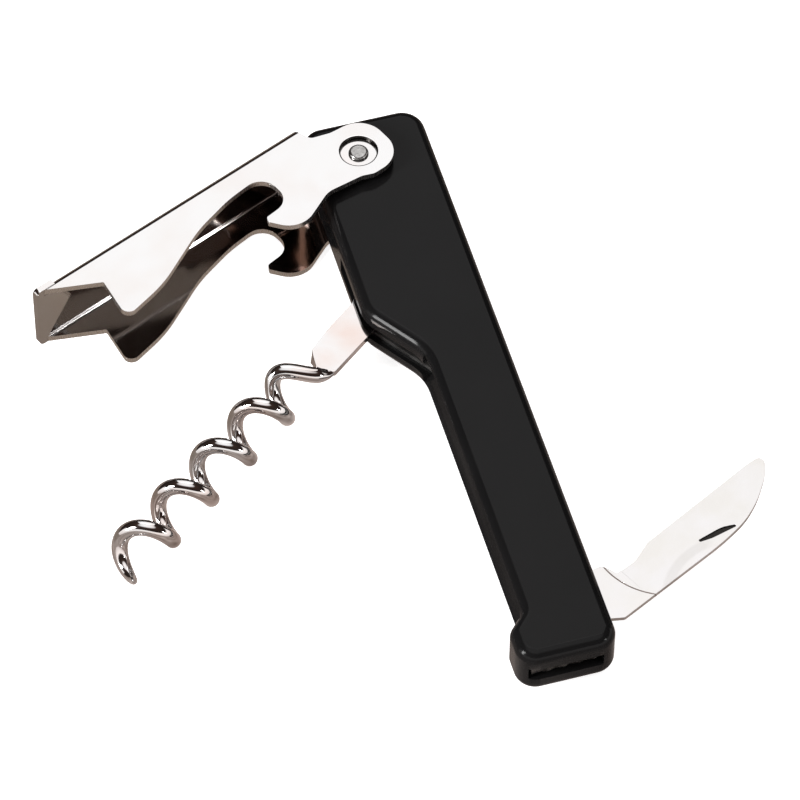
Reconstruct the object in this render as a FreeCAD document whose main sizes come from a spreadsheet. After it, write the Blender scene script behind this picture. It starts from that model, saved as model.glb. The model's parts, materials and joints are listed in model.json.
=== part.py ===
import FreeCAD, Part
import Sketcher
import math
import os

# Lever corkscrew (waiter's friend), lying flat on its back and half open.
#
# Every piece is drawn in the handle's own frame: the lever's hinge axis is the origin, X runs across
# the handle (knife side +X, worm side -X), Y runs along it (hinge end +Y, foot -Y) and Z is the
# thickness, with Z = 0 in the middle. Swinging pieces are drawn folded, about their own pin, and
# their Placement opens them. At the end the whole model is stood on the middle of its base.

V = FreeCAD.Vector
Z_AXIS = V(0, 0, 1)

doc = FreeCAD.newDocument("lever_corkscrew")

# ---------------------------------------------------------------- driving dimensions (mm, degrees)
DIMENSIONS = {
    "handle_thick": 9.4,        # front face to back face
    "handle_left": -8.06,       # left edge of the wide head part
    "handle_right": 13.05,      # right edge
    "handle_top": 9.0,
    "handle_foot": -105.9,
    "waist_left": -0.65,        # left edge of the narrow part
    "foot_left": -3.5,
    "handle_round": 2.0,        # rounding of the front and back edges
    "pocket_thick": 3.5,        # inside space that holds the steel frame
    "side_slot": 3.4,
    "knife_slot": 2.0,
    "window_height": 2.6,
    "liner_thick": 0.8,
    "liner_gap": 1.84,          # between the two liners
    "spacer_thick": 1.8,
    "sheet": 1.1,               # lever sheet
    "bend_outside": 1.6,        # outside radius where the cheeks turn off the spine
    "lever_width": 13.8,        # outside of the cheeks
    "lever_back": 10.8,         # hinge axis to the outside of the spine
    "lever_length": 60.6,
    "lip_corner": 1.0,          # corners of the spine's flattened end
    "eye_radius": 5.5,          # round end of each cheek
    "dimple_width": 6.1,
    "dimple_depth": 0.75,
    "boss_width": 7.8,
    "rivet_width": 2.4,
    "rivet_head": 3.4,
    "rivet_dome": 0.6,          # rounding of the peened heads
    "bush_width": 5.0,
    "washer_thick": 0.3,
    "washer_play": 0.02,        # lever washer to handle face
    "worm_pin_x": -2.95,
    "worm_pin_y": -25.62,
    "worm_pin_width": 3.0,
    "coil_offset": -1.0,        # coil axis from the pin
    "coil_radius": 3.2,         # to the middle of the wire
    "wire_width": 2.7,
    "coil_pitch": 10.2,
    "worm_length": 70.9,        # pin to point
    "tab_width": 6.3,
    "tab_thick": 1.2,
    "knife_pin_x": 9.3,
    "knife_pin_y": -95.88,
    "knife_pin_width": 2.6,
    "knife_thick": 0.8,
    "knife_back": 6.0,          # pin to the blade's straight back
    "small_rivet": 1.6,
    "pin_play": 0.05,           # radial clearance of a running fit
    "worm_shim": 0.2,
    "knife_shim": 0.4,
    "shim_width": 6.4,
    "shim_play": 0.05,          # shim to liner
    "lever_open": 66.65,
    "worm_open": 52.4,
    "knife_open": 63.74,
}

sheet = doc.addObject("Spreadsheet::Sheet", "Dimensions")
for row, (alias, value) in enumerate(DIMENSIONS.items(), start=1):
    sheet.set("A%d" % row, alias)
    sheet.set("B%d" % row, str(value))
    sheet.setAlias("B%d" % row, alias)
doc.recompute()


def dim(alias):
    """Value of one cell of the sheet."""
    return float(getattr(sheet, alias))


parts = []                      # every sub-part, in the order it is written


# ---------------------------------------------------------------- drawing helpers
def new_body(label):
    body = doc.addObject("PartDesign::Body", label)
    body.Label = label
    parts.append(body)
    return body


def plane_of(body, role):
    return next(item for item in body.Origin.OriginFeatures if item.Role == role)


def new_sketch(body, name, role="XY_Plane", lift=None):
    """Sketch on one of the body's origin planes; lift is an expression for its height above it."""
    sketch = body.newObject("Sketcher::SketchObject", name)
    sketch.AttachmentSupport = [(plane_of(body, role), "")]
    sketch.MapMode = "FlatFace"
    if lift:
        sketch.setExpression(".AttachmentOffset.Base.z", lift)
    return sketch


def rounded_outline(corners):
    """Closed outline from corners (x, y) or (x, y, radius), each radius a tangent arc."""
    points = [V(c[0], c[1], 0) for c in corners]
    radii = [c[2] if len(c) > 2 else 0.0 for c in corners]
    count = len(points)
    edges = []
    starts, ends, arcs = [], [], []
    reaches = [0.0] * count
    for i in range(count):
        here, before, after = points[i], points[i - 1], points[(i + 1) % count]
        back = (before - here).normalize()
        ahead = (after - here).normalize()
        if radii[i] == 0.0:
            starts.append(here)
            ends.append(here)
            arcs.append(None)
            continue
        half = back.getAngle(ahead) / 2
        reach = radii[i] / math.tan(half)
        enter, leave = here + back * reach, here + ahead * reach
        middle = here + (back + ahead).normalize() * (radii[i] / math.sin(half))
        top = middle + (here - middle).normalize() * radii[i]
        starts.append(enter)
        ends.append(leave)
        reaches[i] = reach
        arcs.append(Part.Arc(enter, top, leave))
    for i in range(count):
        j = (i + 1) % count
        if reaches[i] + reaches[j] > points[i].distanceToPoint(points[j]) + 1e-6:
            raise RuntimeError("corner rounding too large at %s - %s" % (corners[i], corners[j]))
        if arcs[i]:
            edges.append(arcs[i])
        following = starts[(i + 1) % count]
        if ends[i].distanceToPoint(following) > 1e-6:
            edges.append(Part.LineSegment(ends[i], following))
    return edges


def circle(x, y, width):
    return [Part.Circle(V(x, y, 0), Z_AXIS, width / 2)]


def bind_circle(sketch, index, expression):
    """Diameter of one of the sketch's circles, taken from the sheet."""
    number = sketch.addConstraint(
        Sketcher.Constraint("Diameter", index, sketch.Geometry[index].Radius * 2))
    sketch.setExpression("Constraints[%d]" % number, expression)


def pad(body, name, geometry, length, role="XY_Plane", lift=None, both_ways=True):
    sketch = new_sketch(body, name + "_sketch", role, lift)
    sketch.addGeometry(geometry, False)
    feature = body.newObject("PartDesign::Pad", name)
    feature.Profile = sketch
    feature.SideType = "Symmetric" if both_ways else "One side"
    feature.setExpression("Length", length)
    doc.recompute()
    return feature


def pocket(body, name, geometry, length, role="XY_Plane", lift=None, both_ways=True, flip=False):
    """Cut whose effect on the volume is compared, so that a cut into the air is found."""
    before = body.Shape.Volume
    sketch = new_sketch(body, name + "_sketch", role, lift)
    sketch.addGeometry(geometry, False)
    feature = body.newObject("PartDesign::Pocket", name)
    feature.Profile = sketch
    feature.SideType = "Symmetric" if both_ways else "One side"
    feature.Reversed = flip
    feature.setExpression("Length", length)
    doc.recompute()
    if not body.Shape.Volume < before - 1e-6:
        raise RuntimeError(name + " cuts nothing")
    return feature


def fillet_edges(body, name, base, wanted, radius):
    """Fillet on the edges of base that the test picks out."""
    names = ["Edge%d" % (i + 1) for i, edge in enumerate(base.Shape.Edges) if wanted(edge)]
    feature = body.newObject("PartDesign::Fillet", name)
    feature.Base = (base, names)
    feature.setExpression("Radius", radius)
    doc.recompute()
    return feature


def disc(label, x, y, width, hole, low, thick):
    """Washer, bush or pin: a round piece with an optional hole, standing on height low."""
    outer = doc.addObject("Part::Cylinder", label + "_outer")
    outer.setExpression("Radius", width + " / 2")
    outer.setExpression("Height", thick)
    piece = outer
    if hole:
        inner = doc.addObject("Part::Cylinder", label + "_hole")
        inner.setExpression("Radius", hole)
        inner.setExpression("Height", thick)
        piece = doc.addObject("Part::Cut", label + "_ring")
        piece.Base, piece.Tool = outer, inner
    piece.Label = label
    for axis, expression in (("x", x), ("y", y), ("z", low)):
        piece.setExpression(".Placement.Base." + axis, expression)
    parts.append(piece)
    return piece


def compound_of_pins(label, places, width, length):
    """Equal small rivets, one solid each, centred on the middle plane."""
    pins = []
    for number, (x, y) in enumerate(places, start=1):
        pin = doc.addObject("Part::Cylinder", "%s_%d" % (label, number))
        pin.setExpression("Radius", width + " / 2")
        pin.setExpression("Height", length)
        pin.Placement.Base = V(x, y, 0)
        pin.setExpression(".Placement.Base.z", "-(" + length + ") / 2")
        pins.append(pin)
    group = doc.addObject("Part::Compound", label)
    group.Links = pins
    group.Label = label
    parts.append(group)
    return group


# ---------------------------------------------------------------- handle cover
LEFT, RIGHT = dim("handle_left"), dim("handle_right")
TOP, FOOT = dim("handle_top"), dim("handle_foot")
WAIST, FOOT_LEFT = dim("waist_left"), dim("foot_left")
STEP_TOP, STEP_LOW = -31.5, -42.07          # the slanted step between head and waist
BULGE_TOP, BULGE_LOW = -96.2, -99.2         # the slanted step between waist and foot
COIL_X = dim("worm_pin_x") + dim("coil_offset")
COIL_REACH = dim("coil_radius") + dim("wire_width") / 2
POCKET_FOOT = -104.4                        # low end of the frame's pocket

# Outline of the steel frame, which fills the pocket inside the cover.
FRAME = [(-6.9, 4.2, 2.0), (11.0, 4.2, 2.0), (11.0, POCKET_FOOT, 1.5), (-2.0, POCKET_FOOT, 1.5),
         (-2.0, -98.4, 1.0), (1.1, -97.4, 1.0), (1.1, -42.6, 6.0), (-6.9, -31.2, 4.0)]


def make_handle_cover():
    body = new_body("handle_cover")
    outline = [(LEFT, TOP, 3.5), (RIGHT, TOP, 4.0), (RIGHT, FOOT, 3.5), (FOOT_LEFT, FOOT, 3.5),
               (FOOT_LEFT, BULGE_LOW, 2.6), (WAIST, BULGE_TOP, 2.6),
               (WAIST, STEP_LOW, 9.0), (LEFT, STEP_TOP, 6.0)]
    block = pad(body, "block", rounded_outline(outline), "Dimensions.handle_thick")
    half = dim("handle_thick") / 2

    def on_a_face(edge):
        return abs(edge.BoundBox.ZMin) > half - 0.01 and edge.BoundBox.ZLength < 0.01

    fillet_edges(body, "soft_edges", block, on_a_face, "Dimensions.handle_round")
    pocket(body, "frame_pocket", rounded_outline(FRAME), "Dimensions.pocket_thick")

    slot_top, slot_foot = -17.4, -97.2
    worm_slot = [(LEFT - 2, slot_top), (0, slot_top, 1.0), (2, -44), (2, slot_foot),
                 (LEFT - 2, slot_foot)]
    pocket(body, "worm_slot", rounded_outline(worm_slot), "Dimensions.side_slot")

    knife_slot = [(9.0, -52.0), (RIGHT + 2, -52.0), (RIGHT + 2, -103.9), (9.0, -103.9)]
    pocket(body, "knife_slot", rounded_outline(knife_slot), "Dimensions.knife_slot")

    window = [(-2.0, FOOT - 1), (10.4, FOOT - 1), (10.4, POCKET_FOOT + 1), (-2.0, POCKET_FOOT + 1)]
    pocket(body, "foot_window", rounded_outline(window), "Dimensions.window_height")

    # The coil lies in a round bed along the waist when it is folded.
    bed_top, bed_foot, bed_play = -42.3, -97.2, 0.3
    bed = new_sketch(body, "worm_bed_sketch", "XZ_Plane")
    bed.AttachmentOffset = FreeCAD.Placement(V(0, 0, -bed_top), FreeCAD.Rotation())
    bed.addGeometry(circle(COIL_X, 0, 2 * (COIL_REACH + bed_play)), False)
    before = body.Shape.Volume
    cut = body.newObject("PartDesign::Pocket", "worm_bed")
    cut.Profile = bed
    cut.Length = bed_top - bed_foot
    cut.Reversed = True
    doc.recompute()
    if not body.Shape.Volume < before - 1:
        raise RuntimeError("worm_bed cuts nothing")

    hole = "Dimensions.handle_thick + 1"
    bush_seat = pocket(body, "bush_seat", circle(0, 0, dim("bush_width")), hole)
    bind_circle(bush_seat.Profile[0], 0, "Dimensions.bush_width")
    return body


# ---------------------------------------------------------------- steel frame inside the handle
SPRING_RIVETS = [(3.1, -55.0), (3.1, -69.0)]
FOOT_RIVETS = [(0.6, -100.3), (5.6, -103.0)]
HEAD_RIVETS = [(-2.4, -12.0), (7.6, -12.0)]


def make_frame_plate(label, lift):
    """One steel liner; both are the same plate, one on each side of the moving tangs."""
    body = new_body(label)
    outline = [(x, max(y, POCKET_FOOT + 0.3)) + tuple(r) for x, y, *r in FRAME]
    pad(body, "plate", rounded_outline(outline), "Dimensions.liner_thick", lift=lift)
    holes = [("bush", 0, 0, dim("bush_width"))]
    holes.append(("worm_pin", dim("worm_pin_x"), dim("worm_pin_y"), dim("worm_pin_width")))
    holes.append(("knife_pin", dim("knife_pin_x"), dim("knife_pin_y"), dim("knife_pin_width")))
    rivets = SPRING_RIVETS + FOOT_RIVETS + HEAD_RIVETS
    holes += [("rivet_%d" % n, x, y, dim("small_rivet")) for n, (x, y) in enumerate(rivets)]
    geometry = [circle(x, y, width)[0] for name, x, y, width in holes]
    pocket(body, "holes", geometry, "Dimensions.handle_thick")
    return body


def make_head_spacer():
    body = new_body("head_spacer")
    outline = [(-5.4, 3.4, 1.5), (10.2, 3.4, 1.5), (10.2, -16.2, 1.5), (-5.4, -16.2, 1.5)]
    pad(body, "plate", rounded_outline(outline), "Dimensions.spacer_thick")
    geometry = circle(0, 0, dim("bush_width"))
    geometry += [circle(x, y, dim("small_rivet"))[0] for x, y in HEAD_RIVETS]
    pocket(body, "holes", geometry, "Dimensions.handle_thick")
    return body


def make_foot_spacer():
    """Spacer at the foot; its end was sheared off roughly and shows in the foot window."""
    body = new_body("foot_spacer")
    ragged = [(-1.4, -104.9), (0.3, -104.75), (1.5, -105.0), (2.6, -104.7), (4.2, -104.95),
              (5.0, -104.6), (6.6, -104.85), (7.6, -104.6), (9.4, -104.8)]
    outline = ragged + [(9.4, -102.0), (3.4, -102.0, 0.8), (3.4, -99.9, 0.6), (-1.4, -98.9, 0.6)]
    pad(body, "plate", rounded_outline(outline), "Dimensions.spacer_thick")
    pocket(body, "holes", [circle(x, y, dim("small_rivet"))[0] for x, y in FOOT_RIVETS],
           "Dimensions.handle_thick")
    return body


def make_back_spring():
    """Leaf held in its middle; one end bears on the worm's eye, the other on the knife's."""
    body = new_body("back_spring")
    outline = [(0.85, -22.6, 0.6), (3.2, -22.6, 0.8), (3.2, -48.0, 6), (5.0, -52.0, 3),
               (5.0, -72.0, 3), (3.2, -76.0, 6), (3.2, -90.5, 2), (4.4, -93.6, 1), (4.4, -98.6, 0.6),
               (1.8, -98.6, 1.2), (1.2, -92.0, 6), (1.2, -42.0, 6), (0.85, -36.0, 6)]
    pad(body, "leaf", rounded_outline(outline), "Dimensions.spacer_thick")
    pocket(body, "holes", [circle(x, y, dim("small_rivet"))[0] for x, y in SPRING_RIVETS],
           "Dimensions.handle_thick")
    return body


# ---------------------------------------------------------------- lever
BACK, SHEET = dim("lever_back"), dim("sheet")
CHEEK = dim("lever_width") / 2              # outside of a cheek from the middle plane
TIP = dim("lever_length")
LIP_START = TIP - 3.8


def lever_profile():
    """Side view of the folded lever as (along, out) corners, out being towards the spine."""
    eye = dim("eye_radius")
    eye_corner = eye * 1.02
    return [(5.65, BACK), (4.6, 7.2, 1.2), (1.2, 6.0, 3.0),
            (-eye_corner, 5.3, eye * 0.86), (-eye_corner, -5.55, eye * 0.86), (1.0, -5.5, 2.0),
            (3.0, -4.6, 2.5), (9.6, -3.7, 4.5), (18.0, -7.25, 4.5), (21.4, -2.4, 0.5),
            (20.9, -1.5, 0.4), (15.7, -1.1, 3.0), (15.75, 6.1, 3.2),
            (23.5, 5.5, 25.0), (31.5, 3.55, 25.0), (43.0, -1.75, 25.0), (51.9, -3.45, 1.5),
            (50.4, 4.8, 0.3), (59.0, BACK - SHEET, 0.5), (TIP, BACK - SHEET), (TIP, BACK)]


def make_lever():
    body = new_body("lever")
    outline = [(-out, -along) + tuple(radius) for along, out, *radius in lever_profile()]
    block = pad(body, "block", rounded_outline(outline), "Dimensions.lever_width")

    def along_the_bend(edge):
        box = edge.BoundBox
        return abs(box.XMin + BACK) < 0.01 and box.XLength < 0.01 and box.YLength > 20

    fillet_edges(body, "outer_bend", block, along_the_bend, "Dimensions.bend_outside")

    channel = [(-BACK + SHEET, 10), (12, 10), (12, -TIP - 5), (-BACK + SHEET, -TIP - 5)]
    hollow = pocket(body, "channel", rounded_outline(channel),
                    "Dimensions.lever_width - 2 * Dimensions.sheet")

    def inner_corner(edge):
        box = edge.BoundBox
        inside = abs(abs(box.ZMin) - CHEEK + SHEET) < 0.01 and box.ZLength < 0.01
        return inside and abs(box.XMin + BACK - SHEET) < 0.01 and box.XLength < 0.01 and box.YLength > 20
    fillet_edges(body, "inner_bend", hollow, inner_corner, "Dimensions.sheet / 2")

    # The end of the spine is struck flat over the lever's whole width.
    lip = [(-BACK, -LIP_START), (-BACK + SHEET, -LIP_START), (-BACK + SHEET, -TIP), (-BACK, -TIP)]
    struck = pad(body, "lip", rounded_outline(lip), "Dimensions.lever_width")

    def lip_corner(edge):
        box = edge.BoundBox
        across = box.ZLength < 0.01 and box.YLength < 0.01 and box.XLength > SHEET / 2
        return across and abs(box.YMin + TIP) < 0.01 and abs(abs(box.ZMin) - CHEEK) < 0.01

    fillet_edges(body, "lip_corners", struck, lip_corner, "Dimensions.lip_corner")

    inner = "Dimensions.lever_width / 2 - Dimensions.sheet - Dimensions.dimple_depth"
    outer = "Dimensions.lever_width / 2 - Dimensions.dimple_depth"
    for side, sign in (("front", ""), ("back", "-")):
        boss = pad(body, "boss_" + side, circle(0, 0, dim("boss_width")),
                   "Dimensions.dimple_depth + 0.2", lift=sign + "(" + inner + ")", both_ways=False)
        bind_circle(boss.Profile[0], 0, "Dimensions.boss_width")
        boss.Reversed = bool(sign)
        doc.recompute()
        recess = pocket(body, "dimple_" + side, circle(0, 0, dim("dimple_width")),
                        "Dimensions.dimple_depth + 1", lift=sign + "(" + outer + ")",
                        both_ways=False, flip=not sign)
        bind_circle(recess.Profile[0], 0, "Dimensions.dimple_width")
        doc.recompute()
    hole = pocket(body, "rivet_hole", circle(0, 0, dim("rivet_width") + 2 * dim("pin_play")),
                  "Dimensions.lever_width + 2")
    bind_circle(hole.Profile[0], 0, "Dimensions.rivet_width + 2 * Dimensions.pin_play")
    body.Placement = FreeCAD.Placement(V(0, 0, 0), FreeCAD.Rotation(Z_AXIS, -dim("lever_open")))
    return body


def make_lever_rivet():
    """Peened rivet: a plain shank with a low dome in each dimple."""
    body = new_body("lever_rivet")
    floor = "Dimensions.lever_width / 2 - Dimensions.dimple_depth + 0.05"
    shank = pad(body, "shank", circle(0, 0, dim("rivet_width")), "2 * (" + floor + ")")
    bind_circle(shank.Profile[0], 0, "Dimensions.rivet_width")
    for side, sign in (("front", ""), ("back", "-")):
        head = pad(body, "head_" + side, circle(0, 0, dim("rivet_head")),
                   "Dimensions.dimple_depth - 0.1", lift=sign + "(" + floor + ")", both_ways=False)
        bind_circle(head.Profile[0], 0, "Dimensions.rivet_head")
        head.Reversed = bool(sign)
        doc.recompute()

    def rim(edge):
        box = edge.BoundBox
        return box.ZLength < 0.01 and abs(box.ZMin) > CHEEK - 0.1

    fillet_edges(body, "domed_heads", head, rim, "Dimensions.rivet_dome")
    return body


# ---------------------------------------------------------------- worm
COIL_RADIUS, WIRE = dim("coil_radius"), dim("wire_width") / 2
TURN_RATE = 2 * math.pi / dim("coil_pitch")         # radians of turn per mm along the coil
COIL_START, START_ANGLE = 25.5, 3.555               # where the coil begins, and its angle there
ROOT = V(2.2, -18.4, 0)                             # where the wire is round, at the tab's end
WORM_LENGTH = dim("worm_length")
TAPER_LENGTH, POINT_RADIUS = 7.5, 0.3


def coil_spot(down):
    """Middle of the wire of the folded worm at a distance down from the pin (right-handed)."""
    angle = START_ANGLE + (down - COIL_START) * TURN_RATE
    return V(dim("coil_offset") + COIL_RADIUS * math.cos(angle), -down, COIL_RADIUS * math.sin(angle))


def coil_direction(down):
    angle = START_ANGLE + (down - COIL_START) * TURN_RATE
    speed = COIL_RADIUS * TURN_RATE
    return V(-speed * math.sin(angle), -1, speed * math.cos(angle)).normalize()


def ring(spot, direction, radius):
    return Part.Wire([Part.Circle(spot, direction, radius).toShape()])


def coil_pipe(start, end, end_radius):
    """Round wire along the helix, in quarter turns, from its full size to end_radius."""
    count = round((end - start) * TURN_RATE / (math.pi / 2))
    stops = [start + (end - start) * i / count for i in range(count + 1)]
    edges = []
    for low, high in zip(stops, stops[1:]):
        points = [coil_spot(low + (high - low) * i / 6) for i in range(7)]
        curve = Part.BSplineCurve()
        curve.interpolate(Points=points, InitialTangent=coil_direction(low),
                          FinalTangent=coil_direction(high), Scale=True)
        edges.append(curve.toShape())
    rings = [ring(coil_spot(start), coil_direction(start), WIRE)]
    if end_radius != WIRE:
        rings.append(ring(coil_spot(end), coil_direction(end), end_radius))
    return Part.Wire(edges).makePipeShell(rings, True, True)


def worm_root():
    """Flat tab with its eye, and the wire growing out of it and bending into the coil."""
    eye = 3.4
    left = eye - dim("tab_width")
    outline = [(-eye, eye, eye * 0.98), (eye, eye, eye * 0.98), (eye, -18.2, 0.5), (0.3, -19.1, 0.3),
               (left + 0.45, -16.7, 0.3), (left, -12.0, 1), (left, -5.4, 3), (-eye, -2.4, 3)]
    wire = Part.Wire([edge.toShape() for edge in rounded_outline(outline)])
    tab = Part.Face(wire).extrude(V(0, 0, dim("tab_thick")))
    tab.translate(V(0, 0, -dim("tab_thick") / 2))
    hole = Part.makeCylinder(dim("worm_pin_width") / 2 + dim("pin_play"), 10, V(0, 0, -5), Z_AXIS)

    down, growth = V(0, -1, 0), 1.4
    end, direction = coil_spot(COIL_START), coil_direction(COIL_START)
    curve = Part.BezierCurve()
    curve.setPoles([ROOT, ROOT + down * 3.4, end - direction * 5.5, end])
    bend = Part.Wire([curve.toShape()]).makePipeShell([ring(ROOT, down, WIRE)], True, False)
    cone = Part.makeCone(dim("tab_thick") / 2, WIRE, growth, ROOT - down * growth, down)
    return tab.cut(hole).fuse(cone).fuse(bend)


def make_worm():
    """The root, the coil and the point share their round ends, so their skins make one solid."""
    taper_start = WORM_LENGTH - TAPER_LENGTH
    joints = [coil_spot(COIL_START), coil_spot(taper_start)]
    skins = []
    for piece in (worm_root(), coil_pipe(COIL_START, taper_start, WIRE),
                  coil_pipe(taper_start, WORM_LENGTH, POINT_RADIUS)):
        for face in piece.Faces:
            flat = face.Surface.TypeId == "Part::GeomPlane"
            if not (flat and min(face.CenterOfMass.distanceToPoint(j) for j in joints) < 0.001):
                skins.append(face)
    skin = Part.Compound(skins)
    skin.sewShape()
    worm = doc.addObject("Part::Feature", "worm")
    worm.Shape = Part.makeSolid(skin if skin.ShapeType == "Shell" else skin.Shells[0])
    worm.Label = "worm"
    worm.Placement = FreeCAD.Placement(V(dim("worm_pin_x"), dim("worm_pin_y"), 0),
                                       FreeCAD.Rotation(Z_AXIS, -dim("worm_open")))
    parts.append(worm)
    return worm


# ---------------------------------------------------------------- knife
def make_knife_blade():
    """Foil knife, folded with its edge inwards; along runs to the tip, out to the cutting edge."""
    body = new_body("knife_blade")
    back = dim("knife_back")
    eye = 4.5
    corners = [(-eye, -eye, eye * 0.98), (2.4, -eye, 0.6), (4.4, -back, 0.8), (26.0, -back, 50.0),
               (32.0, -back + 0.62, 17.0), (36.4, -back + 2.33, 20.0), (40.6, -back + 4.9, 10.0),
               (42.6, 0.9, 1.2),
               (43.2, 2.5, 0.9), (40.0, 2.75, 3.0), (17.4, 2.3, 3.0), (13.4, 1.0, 3.0), (9.4, 1.1, 0.5),
               (8.6, 3.9, 1.5), (4.6, 4.5, 2.0), (-eye, eye, eye * 0.98)]
    outline = [(-out, along) + tuple(radius) for along, out, *radius in corners]
    pad(body, "blank", rounded_outline(outline), "Dimensions.knife_thick")

    # Flat grind on both faces, from near the back down to the edge.
    half, edge_half = dim("knife_thick") / 2, 0.12
    for side, sign in (("front", 1), ("back", -1)):
        grind_start = 10.2
        wedge = [V(back - 1.5, sign * half, 0), V(-8.0, sign * half, 0),
                 V(-8.0, sign * edge_half * 0.2, 0), V(-2.6, sign * edge_half, 0)]
        sketch = new_sketch(body, "grind_%s_sketch" % side, "XZ_Plane")
        sketch.AttachmentOffset = FreeCAD.Placement(V(0, 0, -grind_start), FreeCAD.Rotation())
        lines = [Part.LineSegment(a, b) for a, b in zip(wedge, wedge[1:] + wedge[:1])]
        sketch.addGeometry(lines, False)
        before = body.Shape.Volume
        grind = body.newObject("PartDesign::Pocket", "grind_" + side)
        grind.Profile = sketch
        grind.Length = 60
        doc.recompute()
        if not body.Shape.Volume < before - 0.5:
            raise RuntimeError("grind_%s cuts nothing" % side)

    nick = [(3.1, 23.3, 0.2), (4.2, 26.0, 3.0), (5.0, 30.0, 0.2), (3.7, 28.0, 4.0)]
    pocket(body, "nail_nick", rounded_outline(nick), "0.35",
           lift="Dimensions.knife_thick / 2 + 0.1", both_ways=False)
    hole = pocket(body, "pin_hole", circle(0, 0, dim("knife_pin_width") + 2 * dim("pin_play")),
                  "Dimensions.knife_thick + 2")
    bind_circle(hole.Profile[0], 0, "Dimensions.knife_pin_width + 2 * Dimensions.pin_play")
    body.Placement = FreeCAD.Placement(V(dim("knife_pin_x"), dim("knife_pin_y"), 0),
                                       FreeCAD.Rotation(Z_AXIS, -dim("knife_open")))
    return body


# ---------------------------------------------------------------- all pieces
make_handle_cover()
liner_middle = "(Dimensions.liner_gap + Dimensions.liner_thick) / 2"
make_frame_plate("frame_plate_front", liner_middle)
make_frame_plate("frame_plate_back", "-" + liner_middle)
make_head_spacer()
make_foot_spacer()
make_back_spring()
make_lever()
make_lever_rivet()
make_worm()
make_knife_blade()

FRAME_THICK = "Dimensions.liner_gap + 2 * Dimensions.liner_thick"
compound_of_pins("head_rivets", HEAD_RIVETS, "Dimensions.small_rivet", FRAME_THICK)
compound_of_pins("spring_rivets", SPRING_RIVETS, "Dimensions.small_rivet", FRAME_THICK)
compound_of_pins("foot_rivets", FOOT_RIVETS, "Dimensions.small_rivet", FRAME_THICK)

disc("lever_bush", "0", "0", "Dimensions.bush_width", "Dimensions.rivet_width / 2",
     "-Dimensions.handle_thick / 2", "Dimensions.handle_thick")
disc("lever_washer_front", "0", "0", "Dimensions.boss_width", "Dimensions.rivet_width / 2 + 0.1",
     "Dimensions.handle_thick / 2 + Dimensions.washer_play", "Dimensions.washer_thick")
disc("lever_washer_back", "0", "0", "Dimensions.boss_width", "Dimensions.rivet_width / 2 + 0.1",
     "-Dimensions.handle_thick / 2 - Dimensions.washer_thick - Dimensions.washer_play",
     "Dimensions.washer_thick")

for pivot in ("worm", "knife"):
    shim = "Dimensions.%s_shim" % pivot
    where_x, where_y = "Dimensions.%s_pin_x" % pivot, "Dimensions.%s_pin_y" % pivot
    pin_width = "Dimensions.%s_pin_width" % pivot
    disc(pivot + "_pin", where_x, where_y, pin_width, None, "-(%s) / 2" % FRAME_THICK, FRAME_THICK)
    shim_gap = "(Dimensions.liner_gap / 2 - " + shim + " - Dimensions.shim_play)"
    disc(pivot + "_washer_front", where_x, where_y, "Dimensions.shim_width", pin_width + " / 2",
         shim_gap, shim)
    disc(pivot + "_washer_back", where_x, where_y, "Dimensions.shim_width", pin_width + " / 2",
         "-" + shim_gap + " - " + shim, shim)

doc.recompute()

# ---------------------------------------------------------------- check, stand on the origin, write
for item in doc.Objects:
    if {"Invalid", "Error"} & set(item.State):
        raise RuntimeError("failed: " + item.Label)

box = FreeCAD.BoundBox()
for part in parts:
    if part.Shape.isNull() or not part.Shape.isValid():
        raise RuntimeError("bad shape: " + part.Label)
    box.add(part.Shape.optimalBoundingBox(False, False))
shift = V(-box.Center.x, -box.Center.y, -box.ZMin)

os.makedirs("parts", exist_ok=True)
for part in parts:
    shape = part.Shape.copy()
    shape.translate(shift)
    shape.exportStep("parts/%s.step" % part.Label)
print("moved by", shift, "size", box.XLength, box.YLength, box.ZLength, "sub-parts", len(parts))
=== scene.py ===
import json
import math

import bmesh
import bpy
import numpy as np
from mathutils import Matrix, Vector


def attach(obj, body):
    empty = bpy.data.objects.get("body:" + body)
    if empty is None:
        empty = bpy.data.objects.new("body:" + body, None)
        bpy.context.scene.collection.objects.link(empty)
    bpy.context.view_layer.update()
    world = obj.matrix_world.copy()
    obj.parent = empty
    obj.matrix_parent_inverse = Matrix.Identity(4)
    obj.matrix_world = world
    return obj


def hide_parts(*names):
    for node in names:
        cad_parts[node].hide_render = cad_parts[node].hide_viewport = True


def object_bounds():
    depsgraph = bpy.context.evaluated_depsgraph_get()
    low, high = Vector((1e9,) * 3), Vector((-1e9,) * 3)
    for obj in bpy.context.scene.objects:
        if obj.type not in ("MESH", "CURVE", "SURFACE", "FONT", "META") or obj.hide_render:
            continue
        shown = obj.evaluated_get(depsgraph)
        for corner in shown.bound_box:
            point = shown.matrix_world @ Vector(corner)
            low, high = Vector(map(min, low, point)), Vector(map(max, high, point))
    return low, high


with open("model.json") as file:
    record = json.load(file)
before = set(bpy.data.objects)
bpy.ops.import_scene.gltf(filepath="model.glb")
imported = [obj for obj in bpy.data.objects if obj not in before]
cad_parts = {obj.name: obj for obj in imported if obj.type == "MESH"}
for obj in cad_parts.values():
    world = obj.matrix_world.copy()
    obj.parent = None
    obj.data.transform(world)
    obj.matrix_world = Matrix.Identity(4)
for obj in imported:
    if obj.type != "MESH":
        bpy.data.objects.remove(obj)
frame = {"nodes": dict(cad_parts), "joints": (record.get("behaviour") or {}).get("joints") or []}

# A waiter's friend lying on its back: glossy black handle, bright plated lever and worm, foil knife.
# The frame is in metres, and MM turns a length in millimetres into it.
MM = 0.001
cad_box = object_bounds()
HINGE = {joint["name"]: Vector(joint["pos_m"]) for joint in frame["joints"]}
LEVER_TURN = 23.3                       # slope of the lever below -X, in degrees
BLADE_TURN = 26.3                       # slope of the blade above +X, in degrees
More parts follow.
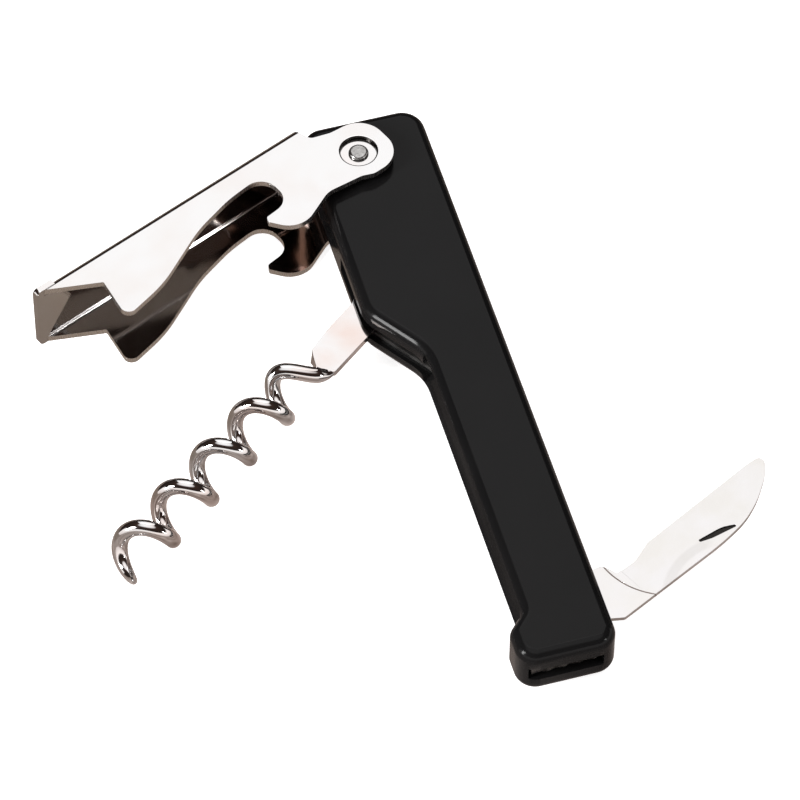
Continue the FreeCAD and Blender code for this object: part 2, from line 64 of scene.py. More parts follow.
# middle of the painted red-brown reflection inside the lever, by its hook
BY_THE_HOOK = HINGE["lever_swing"] + Vector((-0.0125, -0.0045, 0))
SHARP_ANGLE = math.radians(40.0)        # steeper edges stay sharp in the shading
FLAT_ANGLE = math.radians(0.6)          # triangles nearer to one plane than this make one face


# ---------------------------------------------------------------- material helpers
class Finish:
    """One procedural material; its textures run in the object's own metres."""

    def __init__(self, name, **sockets):
        self.material = bpy.data.materials.new(name)
        self.material.use_nodes = True
        self.tree = self.material.node_tree
        self.shader = self.tree.nodes["Principled BSDF"]
        self.where = self.tree.nodes.new("ShaderNodeTexCoord").outputs["Object"]
        for socket, value in sockets.items():
            self.shader.inputs[socket.replace("_", " ")].default_value = value

    def node(self, kind, **inputs):
        """A new node with its sockets set or linked; an underscore stands for a space in a name."""
        made = self.tree.nodes.new(kind)
        for socket, value in inputs.items():
            name = socket.replace("_", " ")
            if isinstance(value, bpy.types.NodeSocket):
                self.tree.links.new(value, made.inputs[name])
            else:
                made.inputs[name].default_value = value
        return made

    def stretched(self, x=1.0, y=1.0, z=1.0, turn=0.0):
        """The object's own position, stretched along its axes after a turn about Z, in degrees."""
        turned = self.node("ShaderNodeMapping", Vector=self.where)
        turned.inputs["Rotation"].default_value = (0, 0, math.radians(turn))
        sized = self.node("ShaderNodeMapping", Vector=turned.outputs["Vector"])
        sized.inputs["Scale"].default_value = (x, y, z)
        return sized.outputs["Vector"]

    def noise(self, size, vector=None, detail=3.0, rough=0.5):
        """Noise whose features are about size millimetres across."""
        made = self.node("ShaderNodeTexNoise", Vector=vector or self.where,
                         Scale=1.0 / (size * MM), Detail=detail, Roughness=rough)
        return made.outputs["Fac"]

    def span(self, value, low, high, to_low, to_high, smooth=False):
        """Maps low..high of a value to to_low..to_high, held at the ends."""
        made = self.node("ShaderNodeMapRange", Value=value, From_Min=low, From_Max=high,
                         To_Min=to_low, To_Max=to_high)
        made.interpolation_type = "SMOOTHSTEP" if smooth else "LINEAR"
        return made.outputs["Result"]

    def math(self, operation, first, second=0.0):
        """One step of arithmetic on numbers or sockets."""
        made = self.tree.nodes.new("ShaderNodeMath")
        made.operation = operation
        for socket, value in zip(made.inputs, (first, second)):
            if isinstance(value, bpy.types.NodeSocket):
                self.tree.links.new(value, socket)
            else:
                socket.default_value = value
        return made.outputs[0]

    def blend(self, share, one, other):
        """Mixes two colours by share."""
        made = self.tree.nodes.new("ShaderNodeMix")
        made.data_type = "RGBA"
        self.tree.links.new(share, made.inputs["Factor"])
        for socket, value in zip((made.inputs[6], made.inputs[7]), (one, other)):
            if isinstance(value, bpy.types.NodeSocket):
                self.tree.links.new(value, socket)
            else:
                socket.default_value = (*value, 1.0)
        return made.outputs[2]

    def distance(self, point):
        """Distance in metres from a point of the row's frame."""
        away = self.tree.nodes.new("ShaderNodeVectorMath")
        away.operation = "DISTANCE"
        self.tree.links.new(self.where, away.inputs[0])
        away.inputs[1].default_value = point
        return away.outputs["Value"]

    def nearness(self, point, reach):
        """1 at a point of the row's frame and 0 from reach millimetres away."""
        return self.span(self.distance(point), 0.0, reach * MM, 1.0, 0.0, smooth=True)

    def feed(self, socket, value):
        self.tree.links.new(value, self.shader.inputs[socket])

    def bump(self, *layers):
        """Stacks (height, depth in millimetres) layers on the surface."""
        normal = None
        for height, depth in layers:
            made = self.node("ShaderNodeBump", Height=height, Distance=depth * MM, Strength=1.0)
            if normal:
                self.tree.links.new(normal, made.inputs["Normal"])
            normal = made.outputs["Normal"]
        self.tree.links.new(normal, self.shader.inputs["Normal"])


def scratches(finish, turn, length=9.0, width=0.12, rarity=0.70):
    """Fine straight marks, long one way and thin the other; 1 on a mark and 0 off it."""
    vector = finish.stretched(1.0 / length, 1.0 / width, 1.0 / width, turn)
    lines = finish.noise(1.0, vector, detail=2.0)
    return finish.span(lines, rarity, rarity + 0.06, 0.0, 1.0)


def make_gloss_black():
    """Moulded glossy plastic: faint orange peel, dust-fine scratches and a few duller patches."""
    finish = Finish("gloss_black_plastic", IOR=1.46, Specular_IOR_Level=0.11)
    patches = finish.noise(14.0, detail=4.0)
    marks = scratches(finish, 68.0, length=7.0, width=0.10, rarity=0.72)
    cross = scratches(finish, -20.0, length=4.0, width=0.08, rarity=0.74)
    both = finish.math("MAXIMUM", marks, cross)
    finish.feed("Base Color", finish.blend(patches, (0.0050, 0.0050, 0.0053), (0.0085, 0.0083, 0.0085)))
    dull = finish.span(patches, 0.35, 0.75, 0.10, 0.20)
    finish.feed("Roughness", finish.math("ADD", dull, finish.math("MULTIPLY", both, 0.10)))
    finish.bump((finish.noise(1.6, detail=2.0), 0.004), (finish.noise(22.0), 0.030), (both, -0.0015))
    return finish.material


def make_plated_steel(name, warm, wave, roughness, red_glow=None):
    """Bright nickel-chrome plate over drawn or pressed steel: slow waves, a warm cast, fine wipe marks.

    The last argument is the middle of a painted red-brown reflection on the inner faces between the cheeks,
    if the piece has one.
    """
    finish = Finish(name, Metallic=1.0)
    cast = finish.noise(9.0, detail=3.0)
    marks = scratches(finish, LEVER_TURN, length=8.0, width=0.09, rarity=0.71)
    cool = (0.60, 0.598, 0.60)
    plate = finish.blend(finish.span(cast, 0.40, 0.72, 0.0, 1.0), cool, warm)
    # painted reflection: a red-brown tint on the inner faces between the cheeks, near the hook
    if red_glow:
        height = finish.node("ShaderNodeSeparateXYZ", Vector=finish.where).outputs["Z"]
        from_middle = finish.math("ABSOLUTE", finish.math("SUBTRACT", height, red_glow.z))
        inside = finish.span(from_middle, 0.0060, 0.0064, 1.0, 0.0)
        share = finish.math("MULTIPLY", finish.nearness(red_glow, 17.0), inside)
        plate = finish.blend(share, plate, (0.66, 0.45, 0.37))
    finish.feed("Base Color", plate)
    cloudy = finish.span(finish.noise(5.0, detail=5.0), 0.3, 0.7, roughness, roughness + 0.07)
    finish.feed("Roughness", finish.math("ADD", cloudy, finish.math("MULTIPLY", marks, 0.12)))
    finish.bump((finish.noise(12.0, detail=1.0), wave), (finish.noise(0.35, detail=2.0), 0.0006),
                (marks, -0.0008))
    return finish.material


def make_cut_steel():
    """Blanked edge of the sheet: greyer, with the short streaks that the die leaves."""
    finish = Finish("cut_edge_steel", Metallic=1.0)
    streaks = finish.noise(1.0, finish.stretched(4.0, 4.0, 0.6), detail=4.0)
    finish.feed("Base Color", finish.blend(streaks, (0.80, 0.78, 0.76), (0.62, 0.60, 0.58)))
    finish.feed("Roughness", finish.span(streaks, 0.3, 0.7, 0.20, 0.36))
    finish.bump((streaks, 0.008))
    return finish.material


def make_shaded_steel(name, shade):
    """Near-black steel that paints the shade at the bottom of a stamping, with a fine random mottle."""
    finish = Finish(name, Metallic=1.0)
    mottle = finish.noise(0.4, detail=3.0)
    finish.feed("Base Color", finish.blend(mottle, (shade, shade * 0.95, shade * 0.9), (0.015, 0.013, 0.012)))
    finish.feed("Roughness", finish.span(mottle, 0.3, 0.7, 0.18, 0.35))
    finish.bump((mottle, 0.01))
    return finish.material


def arc_line(finish, centre, radius, width, middle, reach):
    """1 on a thin arc of a circle in the row's frame, near its middle point; lengths in millimetres."""
    off = finish.math("ABSOLUTE", finish.math("SUBTRACT", finish.distance(centre), radius * MM))
    line = finish.span(off, width * MM * 0.4, width * MM, 1.0, 0.0, smooth=True)
    near = finish.span(finish.nearness(middle, reach), 0.05, 0.35, 0.0, 1.0)
    return finish.math("MULTIPLY", line, near)


def make_blade_steel(turn):
    """Thin polished stainless with grinding lines that run from the back to the edge."""
    finish = Finish("ground_blade_steel", Metallic=1.0)
    lines = finish.noise(1.0, finish.stretched(1.0 / 0.10, 1.0 / 6.0, 1.0 / 3.0, turn), detail=3.0)
    cloud = finish.noise(6.0, detail=4.0)
    polish = finish.blend(finish.span(cloud, 0.35, 0.65, 0.0, 1.0),
                          (0.580, 0.572, 0.575), (0.568, 0.556, 0.540))
    pin = HINGE["knife_swing"]

    def beside_the_pin(x, y):
        return pin + Vector((x, y, 0.4)) * MM

    # painted shade: a thin dark line along the crease of the plunge
    plunge = arc_line(finish, beside_the_pin(18.02, 10.68), 12.36, 0.12, beside_the_pin(8.0, 3.6), 9.0)
    # painted shade: a soft grey crescent band across the grind
    crescent_shade = arc_line(finish, beside_the_pin(25.51, -4.75), 11.6, 1.2, beside_the_pin(17.8, 5.0), 9.0)
    polish = finish.blend(finish.math("MULTIPLY", crescent_shade, 0.22), polish, (0.36, 0.34, 0.32))
    finish.feed("Base Color", finish.blend(plunge, polish, (0.22, 0.17, 0.15)))
    finish.feed("Roughness", finish.math("ADD", finish.span(cloud, 0.3, 0.7, 0.10, 0.18),
                                         finish.math("MULTIPLY", lines, 0.08)))
    finish.bump((lines, 0.0022), (cloud, 0.010), (plunge, -0.05))
    return finish.material


def make_rivet_steel():
    """Peened steel: tool dimples, slightly dull."""
    finish = Finish("peened_steel", Metallic=1.0)
    dents = finish.noise(0.5, detail=3.0)
    finish.feed("Base Color", finish.blend(dents, (0.42, 0.415, 0.41), (0.24, 0.235, 0.23)))
    finish.feed("Roughness", finish.span(dents, 0.3, 0.7, 0.22, 0.40))
    finish.bump((dents, 0.030), (finish.noise(0.12), 0.003))
    return finish.material


def make_plain_steel(name, shade, grain):
    """Unplated steel inside the handle, and the spacer's torn end: grey, dull and a little rough."""
    finish = Finish(name, Metallic=1.0)
    cloud = finish.noise(grain, detail=5.0, rough=0.65)
    dark = tuple(shade * part for part in (0.55, 0.54, 0.53))
    finish.feed("Base Color", finish.blend(cloud, dark, (shade, shade * 0.99, shade * 0.97)))
    finish.feed("Roughness", finish.span(cloud, 0.3, 0.7, 0.30, 0.55))
    finish.bump((cloud, grain * 0.05), (finish.noise(0.2), 0.006))
    return finish.material


lever_plate = make_plated_steel("plated_lever_steel", (0.585, 0.565, 0.555), 0.040, 0.035, BY_THE_HOOK)
worm_plate = make_plated_steel("plated_worm_steel", (0.58, 0.50, 0.47), 0.010, 0.04)
gloss_black = make_gloss_black()
cut_steel = make_cut_steel()
blade_steel = make_blade_steel(BLADE_TURN)
# painted shade: near-black steel for the hollow of the nail nick
nick_shade_steel = make_shaded_steel("nick_shade_steel", 0.025)
# painted shade: near-black steel for the wall and rim of the dimple around the rivet
recess_shade_steel = make_shaded_steel("recess_shade_steel", 0.04)
rivet_steel = make_rivet_steel()
liner_steel = make_plain_steel("liner_steel", 0.30, 3.0)
torn_steel = make_plain_steel("torn_steel", 0.22, 0.8)


# ---------------------------------------------------------------- mesh helpers
def new_piece(name, mesh, body, slot, *materials):
    """An object of the scene that rides on a body and takes the materials given; slot is not used."""
    piece = bpy.data.objects.new(name, mesh)
    bpy.context.scene.collection.objects.link(piece)
    for material in materials:
        mesh.materials.append(material)
    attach(piece, body)
    return piece


def apply_modifiers(piece):
    """Bakes the piece's modifiers into its mesh."""
    graph = bpy.context.evaluated_depsgraph_get()
    mesh = bpy.data.meshes.new_from_object(piece.evaluated_get(graph))
    piece.modifiers.clear()
    piece.data = mesh


def merged_mesh(node):
    """The CAD node's surface as a new mesh, with its flat triangles merged into whole faces."""
    work = bmesh.new()
    work.from_mesh(frame["nodes"][node].data)
    bmesh.ops.remove_doubles(work, verts=work.verts, dist=1e-6)
    bmesh.ops.dissolve_limit(work, angle_limit=FLAT_ANGLE, verts=work.verts, edges=work.edges)
    work.verts.index_update()
    corners = [tuple(vert.co) for vert in work.verts]
    faces = [[vert.index for vert in face.verts] for face in work.faces]
    work.free()
    mesh = bpy.data.meshes.new(node + "_shape")
    mesh.from_pydata(corners, [], faces)
    mesh.validate()
    return mesh


def ease_rims(mesh, centre, radius, width):
    """Rounds the outer rims of a round recess whose edges lie radius millimetres from the centre."""
    work = bmesh.new()
    work.from_mesh(mesh)
    top = max(abs(vert.co.z - centre.z) for vert in work.verts)
    on_rim = {vert for vert in work.verts if abs(abs(vert.co.z - centre.z) - top) < 0.02 * MM
              and abs((vert.co.xy - centre.xy).length - radius * MM) < 0.03 * MM}
    rims = [edge for edge in work.edges if on_rim.issuperset(edge.verts)]
    bmesh.ops.bevel(work, geom=rims, offset=width * MM, segments=4, profile=0.5, affect="EDGES")
    work.to_mesh(mesh)
    work.free()
    return mesh


def shade_smooth(piece, keep_sharp):
    """Smooth shading between sharp edges, led by the larger faces."""
    piece.data.set_sharp_from_angle(angle=SHARP_ANGLE)
    for face in piece.data.polygons:
        face.use_smooth = True
    weighted = piece.modifiers.new("normals", "WEIGHTED_NORMAL")
    weighted.keep_sharp = keep_sharp
    apply_modifiers(piece)


def softened(node, name, body, slot, edge, *materials, steps=2, limit=28.0, shaped=None):
    """A finished copy of a CAD node: edges sharper than limit degrees rounded by edge millimetres.

    shaped is the node's mesh if it has been worked on already.
    """
    piece = new_piece(name, shaped or merged_mesh(node), body, slot, *materials)
    bevel = piece.modifiers.new("edge", "BEVEL")
    bevel.width = edge * MM
    bevel.segments = steps
    bevel.limit_method = "ANGLE"
    bevel.angle_limit = math.radians(limit)
    bevel.use_clamp_overlap = True
    apply_modifiers(piece)
    shade_smooth(piece, keep_sharp=True)
    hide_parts(node)
    return piece


def paint_faces(piece, index, wanted):
    """Gives the faces that the test picks out the piece's material number index."""
    for face in piece.data.polygons:
        if wanted(face):
            face.material_index = index


# ---------------------------------------------------------------- handle and its steel
softened("handle_cover", "handle_shell", "handle", "handle", 0.25, gloss_black)
softened("foot_spacer", "foot_spacer_plate", "handle", "frame_steel", 0.08, torn_steel)

LINERS = ("frame_plate_front", "frame_plate_back", "head_spacer", "back_spring", "worm_washer_front",
          "worm_washer_back", "knife_washer_front", "knife_washer_back")
PINS = ("head_rivets", "spring_rivets", "foot_rivets", "lever_bush", "lever_washer_front",
        "lever_washer_back", "worm_pin", "knife_pin")
INSIDE = {**dict.fromkeys(LINERS, liner_steel), **dict.fromkeys(PINS, rivet_steel)}
for node, material in INSIDE.items():
    data = frame["nodes"][node].data
    data.materials.clear()
    data.materials.append(material)

# ---------------------------------------------------------------- lever
SPINE_NORMAL = Vector((-math.sin(math.radians(LEVER_TURN)), math.cos(math.radians(LEVER_TURN)), 0))
SPINE_INSIDE = 9.4 * MM                 # from the hinge to the inner side of the spine's bends
DIMPLE_RADIUS = 3.05                    # millimetres, at the rim of the dimple around the rivet
eased = ease_rims(merged_mesh("lever"), HINGE["lever_swing"], DIMPLE_RADIUS, 0.38)
lever = softened("lever", "lever_arm", "lever", "lever_steel", 0.16, lever_plate, cut_steel,
                 recess_shade_steel, steps=3, shaped=eased)


def from_the_hinge(face):
    """Distance in the cheek's plane from the lever's hinge."""
    return (Vector(face.center).xy - HINGE["lever_swing"].xy).length


def is_blanked_edge(face):
    """Faces across the sheet's thickness on the cheeks' outline: they stand along Z, off the spine."""
    away = (Vector(face.center) - HINGE["lever_swing"]).dot(SPINE_NORMAL)
    off_the_dimple = from_the_hinge(face) > (DIMPLE_RADIUS + 0.85) * MM
    return abs(face.normal.z) < 0.6 and away < SPINE_INSIDE and off_the_dimple


def is_recess_wall(face):
    """The wall and the rounded rim of the dimple around the rivet."""
    near_the_rim = (DIMPLE_RADIUS - 0.15) * MM < from_the_hinge(face) < (DIMPLE_RADIUS + 0.45) * MM
    return near_the_rim and abs(face.normal.z) < 0.97


paint_faces(lever, 1, is_blanked_edge)
# painted shade: the dimple's wall and rim take the near-black steel
paint_faces(lever, 2, is_recess_wall)
softened("lever_rivet", "lever_rivet_heads", "handle", "rivet_steel", 0.12, rivet_steel, steps=3)

# ---------------------------------------------------------------- worm
# It is built folded, in millimetres from its pin, with the wire running towards -Y.
WORM_TURN = 52.4                        # from folded to the open place, in degrees
TAB_HALF_THICK = 0.6
WIRE_RADIUS, COIL_RADIUS, COIL_OFFSET, COIL_PITCH = 1.35, 3.2, -1.0, 10.2
COIL_START, START_ANGLE, WORM_LENGTH = 25.5, 3.555, 70.9
ROOT = np.array((2.2, -18.4, 0.0))      # where the wire leaves the tab
DOWN_THE_TAB = np.array((0.0, -1.0, 0.0))
ROOT_PULL, COIL_PULL = 3.4, 5.5         # how far the bend runs on straight at its two ends
IN_THE_TAB = 1.2                        # length of wire sunk in the tab
SWELL_START, SWELL_LENGTH = 1.1, 2.4    # where the pressed wire grows round again, and over what length
PRESSED_WIDTH, PRESSED_THICKNESS = 0.86, 0.96      # of the round wire's width and of the tab's thickness
TAPER_LENGTH, POINT_SIZE, POINT_LENGTH = 10.5, 0.16, 0.35      # the ground point, its end as a share
EYE_RADIUS, EYE_HOLE = 3.4, 1.55
SHEARED_END = (-1.1, -17.93, 0.0)       # the tab's end slopes outwards towards its back here
SHEAR = Vector((-0.40, -0.45, 0))       # how far out the back stands there


def coil_spot(down):
    """Middle of the coiled wire, down millimetres below the pin."""
    angle = START_ANGLE + (down - COIL_START) * 2 * math.pi / COIL_PITCH
    return np.array((COIL_OFFSET + COIL_RADIUS * math.cos(angle), -down, COIL_RADIUS * math.sin(angle)))


def wire_path():
    """Middle of the wire: out of the tab, a bend, the coil."""
    end = coil_spot(COIL_START)
    direction = coil_spot(COIL_START + 0.01) - end
    direction /= np.linalg.norm(direction)
    pulls = (ROOT, ROOT + DOWN_THE_TAB * ROOT_PULL, end - direction * COIL_PULL, end)
    points = [ROOT - DOWN_THE_TAB * length for length in np.linspace(IN_THE_TAB, 0.1, 12)]
    for t in np.linspace(0, 1, 40):
        weights = ((1 - t) ** 3, 3 * (1 - t) ** 2 * t, 3 * (1 - t) * t ** 2, t ** 3)
        points.append(sum(weight * pull for weight, pull in zip(weights, pulls)))
    points += [coil_spot(low) for low in np.arange(COIL_START + 0.25, WORM_LENGTH, 0.25)]
    return np.array(points)


def wire_section(run, left):
    """Half width and half thickness of the wire, run from its root and left from its point."""
    grown = min(max(run - SWELL_START, 0.0) / SWELL_LENGTH, 1.0)
    grown = grown * grown * (3 - 2 * grown)
    wide = WIRE_RADIUS * (PRESSED_WIDTH + (1 - PRESSED_WIDTH) * grown)
    pressed = TAB_HALF_THICK * PRESSED_THICKNESS
    thick = pressed + (WIRE_RADIUS - pressed) * grown
    taper = math.sin(min(left / TAPER_LENGTH, 1.0) * math.pi / 2)
    shrink = POINT_SIZE + (1 - POINT_SIZE) * taper if left > POINT_LENGTH else POINT_SIZE
    return wide * shrink, thick * shrink


def wire_rings(path, tangents, sides=36):
    """Rings of points around the wire, turned as little as possible from one to the next."""
    steps = np.linalg.norm(np.diff(path, axis=0), axis=1)
    along = np.concatenate(([0.0], np.cumsum(steps)))
    angles = np.linspace(0, 2 * math.pi, sides, endpoint=False)
    side = np.array((1.0, 0.0, 0.0))
    rings = []
    for spot, tangent, run in zip(path, tangents, along):
        side = side - tangent * (side @ tangent)
        side /= np.linalg.norm(side)
        other = np.cross(tangent, side)
        wide, thick = wire_section(run, along[-1] - run)
        rings.append([spot + wide * math.cos(a) * side + thick * math.sin(a) * other for a in angles])
    return rings


def wire_mesh():
    """The round wire, closed at the tab and at its point."""
    work = bmesh.new()
    path = wire_path()
    tangents = np.gradient(path, axis=0)
    tangents /= np.linalg.norm(tangents, axis=1)[:, None]
    rows = [[work.verts.new(point) for point in ring] for ring in wire_rings(path, tangents)]
    for one, two in zip(rows, rows[1:]):
        for i in range(len(one)):
            work.faces.new((one[i - 1], one[i], two[i], two[i - 1]))
    for row, spot in ((rows[0], path[0]), (rows[-1], path[-1] + tangents[-1] * 0.15)):
        centre = work.verts.new(spot)
        for i in range(len(row)):
            work.faces.new((row[i - 1], row[i], centre))
    bmesh.ops.recalc_face_normals(work, faces=work.faces)
    mesh = bpy.data.meshes.new("worm_wire")
    work.to_mesh(mesh)
    work.free()
    return mesh


def outline_points(corners):
    """Closed outline with rounded corners, from (x, y, radius), in millimetres."""
    points = []
    count = len(corners)
    for i, (x, y, radius) in enumerate(corners):
        here = Vector((x, y))
        back = (Vector(corners[i - 1][:2]) - here).normalized()
        ahead = (Vector(corners[(i + 1) % count][:2]) - here).normalized()
        half = back.angle(ahead) / 2
        if radius < 0.01:
            points.append(here)
            continue
        reach = radius / math.tan(half)
        middle = here + (back + ahead).normalized() * radius / math.sin(half)
        enter, leave = here + back * reach, here + ahead * reach
        first, last = enter - middle, leave - middle
        turn = first.angle_signed(last)
        parts = max(2, int(abs(math.degrees(turn)) / 7))
        for k in range(parts + 1):
            points.append(middle + Matrix.Rotation(-turn * k / parts, 2) @ first)
    return points


def tab_mesh():
    """The flat tab; its eye turns on the pin inside the handle."""
    corners = [(-EYE_RADIUS, EYE_RADIUS, 3.3), (EYE_RADIUS, EYE_RADIUS, 3.3), (EYE_RADIUS, -18.2, 0.5),
               (0.3, -19.1, 0.3), SHEARED_END, (-2.45, -16.7, 0.1), (-2.9, -12.0, 1.0),
               (-2.9, -5.4, 3.0), (-EYE_RADIUS, -2.4, 3.0)]
    sheared = Vector(SHEARED_END[:2])
    work = bmesh.new()
    low = [work.verts.new((p.x, p.y, -TAB_HALF_THICK)) for p in outline_points(corners)]
    ring = [work.verts.new((EYE_HOLE * math.cos(a), EYE_HOLE * math.sin(a), -TAB_HALF_THICK))
            for a in np.linspace(0, 2 * math.pi, 32, endpoint=False)]
    for vert in low:
        if (vert.co.xy - sheared).length < 0.01:
            vert.co += SHEAR
    edges = [work.edges.new((a, b)) for a, b in zip(low, low[1:] + low[:1])]
    edges += [work.edges.new((a, b)) for a, b in zip(ring, ring[1:] + ring[:1])]
    bmesh.ops.triangle_fill(work, use_beauty=True, use_dissolve=False, edges=edges)
    lifted = bmesh.ops.extrude_face_region(work, geom=list(work.faces))
    raised = [item for item in lifted["geom"] if isinstance(item, bmesh.types.BMVert)]
    bmesh.ops.translate(work, vec=(0, 0, 2 * TAB_HALF_THICK), verts=raised)
    for vert in raised:
        if (vert.co.xy - sheared).length < 0.7:
            vert.co.xy = sheared
    bmesh.ops.recalc_face_normals(work, faces=work.faces)
    bmesh.ops.dissolve_limit(work, angle_limit=FLAT_ANGLE, verts=work.verts, edges=work.edges)
    mesh = bpy.data.meshes.new("worm_tab")
    work.to_mesh(mesh)
    work.free()
    return mesh


def place_worm(mesh):
    """From folded millimetres about the pin to the open place in the row's frame."""
    mesh.transform(Matrix.Translation(HINGE["worm_swing"])
                   @ Matrix.Rotation(math.radians(-WORM_TURN), 4, "Z") @ Matrix.Scale(MM, 4))
    return mesh


wire = new_piece("worm_coil", place_worm(wire_mesh()), "worm", "worm_steel", worm_plate)
for face in wire.data.polygons:
    face.use_smooth = True
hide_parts("worm")

tab = new_piece("worm_tab", place_worm(tab_mesh()), "worm", "worm_steel", worm_plate)
rounding = tab.modifiers.new("edge", "BEVEL")
rounding.width, rounding.segments = 0.14 * MM, 3
rounding.limit_method = "ANGLE"
apply_modifiers(tab)
shade_smooth(tab, keep_sharp=False)
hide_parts("worm")

# ---------------------------------------------------------------- knife
NICK = HINGE["knife_swing"] + Vector((0.0257, 0.0082, 0.0004))
NICK_REACH = 4.2 * MM                   # the whole nick lies this near to NICK
NICK_GROWN = np.diag((1.42, 1.20))      # the pressed nick runs out past the CAD one, lengthwise and across


def in_the_nick(face):
    """The nail nick's floor and walls, below the blade's upper face."""
    depth = NICK.z - face.center.z
    return 0.03 * MM < depth < 0.37 * MM and (Vector(face.center).xy - NICK.xy).length < NICK_REACH


def open_nick(mesh):
    """Lengthens and widens the nail nick, so that its pointed ends show."""
    corners = sorted({index for face in mesh.polygons if in_the_nick(face) for index in face.vertices})
    spots = np.array([mesh.vertices[index].co.xy for index in corners])
    middle = spots.mean(axis=0)
    axes = np.linalg.svd(spots - middle, full_matrices=False)[2]
    grown = middle + (spots - middle) @ axes.T @ NICK_GROWN @ axes
    for index, spot in zip(corners, grown):
        mesh.vertices[index].co.xy = spot
    return mesh


knife = softened("knife_blade", "foil_knife", "knife", "blade_steel", 0.05, blade_steel, nick_shade_steel,
                 limit=12.0, shaped=open_nick(merged_mesh("knife_blade")))
# painted shade: the nick's floor and walls take the near-black steel
paint_faces(knife, 1, in_the_nick)

# ---------------------------------------------------------------- stage, light and camera
FLOOR_REACH = 3.0
floor_mesh = bpy.data.meshes.new("floor")
floor_corners = [(x * FLOOR_REACH, y * FLOOR_REACH, 0) for x, y in ((-1, -1), (1, -1), (1, 1), (-1, 1))]
floor_mesh.from_pydata(floor_corners, [], [(0, 1, 2, 3)])
floor = bpy.data.objects.new("floor", floor_mesh)
bpy.context.scene.collection.objects.link(floor)
paper = Finish("pale_paper", Roughness=0.9, Specular_IOR_Level=0.1, Emission_Color=(1, 1, 1, 1),
               Emission_Strength=0.80)
grain = paper.noise(3.0, detail=4.0)
paper.feed("Base Color", paper.blend(grain, (0.88, 0.88, 0.88), (0.91, 0.91, 0.91)))
paper.bump((grain, 0.02))
floor_mesh.materials.append(paper.material)
floor.visible_glossy = False

# What the bright metal mirrors below itself: a dim warm glowing sheet in a table top's place, seen only in
# reflections; its glow paints the reflections in the lever and the worm.
mirrored = bpy.data.objects.new("reflection_glow_sheet", floor_mesh.copy())
bpy.context.scene.collection.objects.link(mirrored)
reflection_glow = Finish("dim_warm_reflection_glow", Roughness=0.8, Base_Color=(0.10, 0.08, 0.07, 1),
                   Emission_Strength=1.0)
shade = reflection_glow.noise(16.0, detail=1.5)
patches = reflection_glow.span(shade, 0.32, 0.68, 0.0, 1.0)
under_lever = reflection_glow.blend(shade, (0.10, 0.071, 0.055), (0.22, 0.182, 0.138))
under_worm = reflection_glow.blend(patches, (0.10, 0.070, 0.055), (0.55, 0.48, 0.445))
beside = reflection_glow.stretched(turn=-LEVER_TURN)
across = reflection_glow.node("ShaderNodeSeparateXYZ", Vector=beside).outputs["Y"]
to_the_back = reflection_glow.span(across, 0.020, 0.031, 0.0, 1.0, smooth=True)
# painted reflection: the sheet glows brighter under the worm and darker under the lever
reflection_glow.feed("Emission Color", reflection_glow.blend(to_the_back, under_worm, under_lever))
mirrored.data.materials.clear()
mirrored.data.materials.append(reflection_glow.material)
mirrored.visible_camera = mirrored.visible_diffuse = mirrored.visible_shadow = False
mirrored.visible_transmission = False
mirrored.location.z = -0.2 * MM

CENTRE = (cad_box[0] + cad_box[1]) / 2


def softbox(name, direction, distance, width, height, power):
    """Rectangular light that looks at the object from a direction."""
    data = bpy.data.lights.new(name, "AREA")
    data.shape = "RECTANGLE"
    data.size, data.size_y = width, height
    data.energy = power
    light = bpy.data.objects.new(name, data)
    towards = Vector(direction).normalized()
    light.location = CENTRE + towards * distance
    light.rotation_euler = towards.to_track_quat("Z", "Y").to_euler()
    bpy.context.scene.collection.objects.link(light)


softbox("back_window", (0.17, 0.58, 0.80), 0.9, 0.75, 0.60, 2.20)
softbox("left_strip", (-0.87, -0.15, 0.47), 0.7, 0.14, 0.30, 5.0)
softbox("ridge_strip", (0.67, -0.58, 0.465), 0.9, 0.05, 0.22, 0.90)

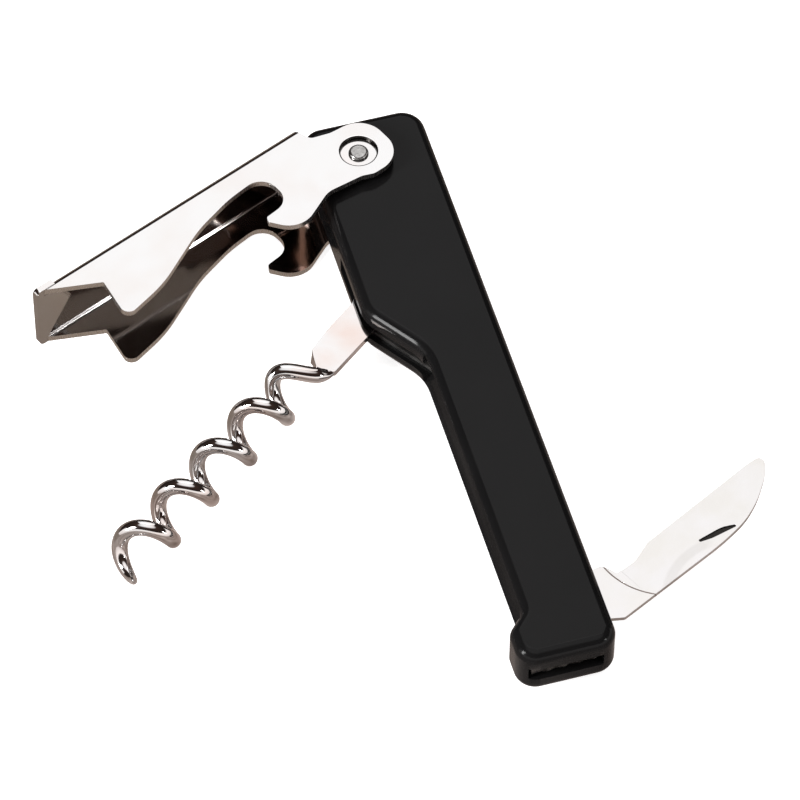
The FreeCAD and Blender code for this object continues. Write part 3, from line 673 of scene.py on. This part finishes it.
# The studio walls by height: bright near the horizon, dark above it, bright overhead. At the back the
# dark part reaches down to the horizon.
WALLS = ((0.0, (1.10, 1.02, 0.99)), (0.33, (1.70, 1.64, 1.61)), (0.43, (0.030, 0.022, 0.019)),
         (0.70, (0.040, 0.027, 0.022)), (0.86, (0.066, 0.040, 0.031)), (0.93, (1.30, 1.28, 1.28)),
         (1.0, (1.60, 1.58, 1.58)))
world = bpy.data.worlds.new("studio")
bpy.context.scene.world = world
world.use_nodes = True
nodes, links = world.node_tree.nodes, world.node_tree.links
direction = nodes.new("ShaderNodeSeparateXYZ")
behind = nodes.new("ShaderNodeMapRange")
for name, number in (("From Min", 0.05), ("From Max", 0.35), ("To Min", 0.0), ("To Max", 0.5)):
    behind.inputs[name].default_value = number
level = nodes.new("ShaderNodeMath")
level.operation = "MAXIMUM"
walls = nodes.new("ShaderNodeValToRGB")
for one, other in ((nodes.new("ShaderNodeTexCoord").outputs["Generated"], direction.inputs[0]),
                   (direction.outputs["Y"], behind.inputs["Value"]),
                   (direction.outputs["Z"], level.inputs[0]),
                   (behind.outputs["Result"], level.inputs[1]),
                   (level.outputs["Value"], walls.inputs["Fac"]),
                   (walls.outputs["Color"], nodes["Background"].inputs["Color"])):
    links.new(one, other)
stops = walls.color_ramp.elements
for place, colour in WALLS[1:-1]:
    stops.new(place)
for stop, (place, colour) in zip(stops, WALLS):
    stop.color = (*colour, 1.0)

camera_data = bpy.data.cameras.new("camera")
camera_data.lens, camera_data.sensor_width = 247.5, 36.0
camera_data.clip_end = 10.0
camera = bpy.data.objects.new("camera", camera_data)
bpy.context.scene.collection.objects.link(camera)
RIGHT = Vector((0.960682, -0.277621, 0.004102))
DOWN = Vector((-0.218844, -0.766214, -0.604172))
FORWARD = Vector((0.170874, 0.579519, -0.796844))
FROM_THE_LEVER_HINGE = Vector((-0.160573, -0.570273, 0.718855))
turned = Matrix((RIGHT, -DOWN, -FORWARD)).transposed().to_4x4()
camera.matrix_world = Matrix.Translation(HINGE["lever_swing"] + FROM_THE_LEVER_HINGE) @ turned
bpy.context.scene.camera = camera
bpy.context.scene.view_settings.view_transform = "Standard"
